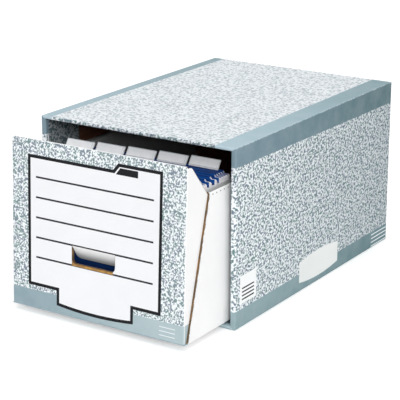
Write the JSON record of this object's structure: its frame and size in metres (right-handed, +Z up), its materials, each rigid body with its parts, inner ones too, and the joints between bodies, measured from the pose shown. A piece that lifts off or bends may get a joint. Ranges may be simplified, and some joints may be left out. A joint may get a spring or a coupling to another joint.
{
  "type": "file box with drawer",
  "caption": "Corrugated board box with an open front and a pull-out drawer, which has a finger hole and ledges that carry hanging files.",
  "frame": {"origin": "middle of the casing's underside, on the surface that it stands on", "axes": "+Z up, -Y out of the open front, in the way that the drawer pulls out, +X to the right seen from the front"},
  "size_m": [0.4, 0.69, 0.316],
  "materials": {
    "printed_board": "printed with a blue-grey mottle on white and plain blue-grey bands, matt",
    "white_board": "white liner, matt",
    "kraft_board": "bare brown liner, matt",
    "file_card": "dark blue dyed card, matt",
    "bar_plastic": "white moulded bar",
    "tab_plastic": "clear folded sheet",
    "insert_paper": "blank white card"
  },
  "bodies": {
    "casing": {"casing_top": "printed_board", "casing_base": "printed_board", "casing_left_side": "printed_board", "casing_right_side": "printed_board", "rear_side_flap_left": "kraft_board", "rear_side_flap_right": "kraft_board", "rear_top_flap": "printed_board", "rear_base_flap": "printed_board"},
    "drawer": {"drawer_floor": "white_board", "drawer_left_wall": "white_board", "drawer_right_wall": "white_board", "drawer_back": "white_board", "drawer_front": "printed_board", "front_left_wing": "white_board", "front_right_wing": "white_board"},
    "finger_flap": {"finger_flap": "white_board"},
    "plain_file_1": {"file_1_pocket": "file_card", "file_1_bars": "bar_plastic"},
    "plain_file_2": {"file_2_pocket": "file_card", "file_2_bars": "bar_plastic"},
    "plain_file_3": {"file_3_pocket": "file_card", "file_3_bars": "bar_plastic"},
    "plain_file_4": {"file_4_pocket": "file_card", "file_4_bars": "bar_plastic"},
    "tabbed_files": {"file_5_pocket": "file_card", "file_5_bars": "bar_plastic", "file_5_tab": "tab_plastic", "file_5_insert": "insert_paper", "file_6_pocket": "file_card", "file_6_bars": "bar_plastic", "file_6_tab": "tab_plastic", "file_6_insert": "insert_paper", "file_7_pocket": "file_card", "file_7_bars": "bar_plastic", "file_7_tab": "tab_plastic", "file_7_insert": "insert_paper", "file_8_pocket": "file_card", "file_8_bars": "bar_plastic", "file_8_tab": "tab_plastic", "file_8_insert": "insert_paper", "file_9_pocket": "file_card", "file_9_bars": "bar_plastic", "file_9_tab": "tab_plastic", "file_9_insert": "insert_paper"}
  },
  "joints": [
    {"name": "drawer_slide", "type": "slide", "parent": "casing", "child": "drawer", "axis": [0, -1, 0], "range_m": [-0.118, 0.32]},
    {"name": "finger_flap_hinge", "type": "hinge", "parent": "drawer", "child": "finger_flap", "pos_m": [-0.005, -0.39955, 0.13758], "axis": [1, 0, 0], "range_deg": [-33, 50]},
    {"name": "plain_file_1_lift", "type": "slide", "parent": "drawer", "child": "plain_file_1", "axis": [0, 0, 1], "range_m": [0, 0.25]},
    {"name": "plain_file_2_lift", "type": "slide", "parent": "drawer", "child": "plain_file_2", "axis": [0, 0, 1], "range_m": [0, 0.25]},
    {"name": "plain_file_3_lift", "type": "slide", "parent": "drawer", "child": "plain_file_3", "axis": [0, 0, 1], "range_m": [0, 0.25]},
    {"name": "plain_file_4_lift", "type": "slide", "parent": "drawer", "child": "plain_file_4", "axis": [0, 0, 1], "range_m": [0, 0.25]},
    {"name": "tabbed_files_slide", "type": "slide", "parent": "drawer", "child": "tabbed_files", "axis": [0, 1, 0], "range_m": [-0.009, 0.39]}
  ]
}
